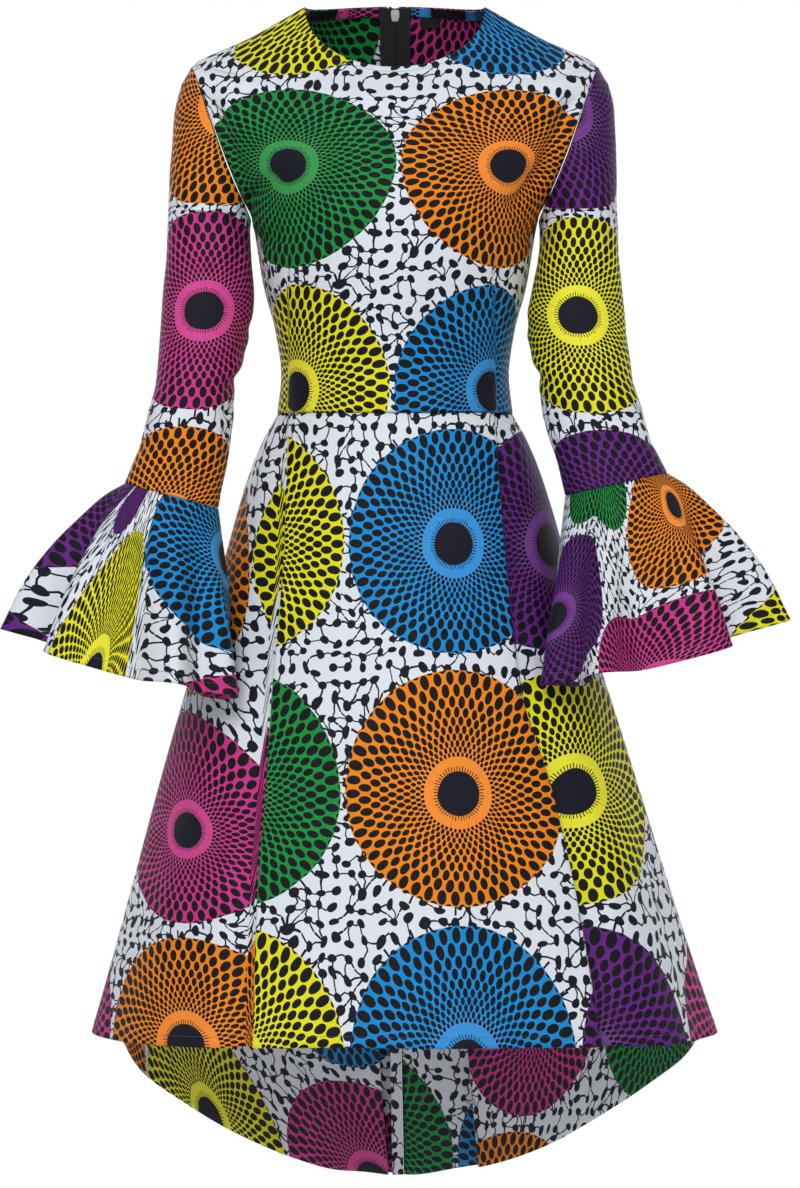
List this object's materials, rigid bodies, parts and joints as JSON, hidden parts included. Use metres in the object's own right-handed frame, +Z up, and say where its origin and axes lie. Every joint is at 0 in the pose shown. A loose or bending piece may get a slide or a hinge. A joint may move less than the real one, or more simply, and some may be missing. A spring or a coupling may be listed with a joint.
{
  "type": "flared dress with cuff flounces",
  "caption": "Knee-length wax print dress: round neck, fitted bodice, long sleeves with flounced cuffs, pleated flared skirt longer at the back, zip at the centre back.",
  "frame": {"origin": "midway between the neck ends of the two shoulder seams, where the wearer holds the dress up", "axes": "+Z up, the front faces -Y, +X towards the wearer's left"},
  "size_m": [0.7608, 0.523, 1.2322],
  "materials": {
    "print": "matt printed cotton, faint wax sheen",
    "tape": "matt woven tape",
    "metal": "satin plated",
    "label": "matt woven"
  },
  "bodies": {
    "dress": {"bodice_front": "print", "bodice_back_left": "print", "bodice_back_right": "print", "sleeve_left": "print", "sleeve_right": "print", "flounce_left": "print", "flounce_right": "print", "skirt_front": "print", "skirt_back_left": "print", "skirt_back_right": "print", "neck_facing_left": "print", "neck_facing_right": "print", "zip_tape_left": "tape", "zip_tape_right": "tape", "zip_chain": "tape", "zip_slider": "metal", "zip_bridge": "metal", "label": "label"},
    "pull": {"zip_pull": "metal"}
  },
  "joints": [
    {"name": "zip_pull_hinge", "type": "hinge", "parent": "dress", "child": "pull", "pos_m": [0, 0.07028, 0.00354], "axis": [1, 0, 0], "range_deg": [0, 150]}
  ]
}
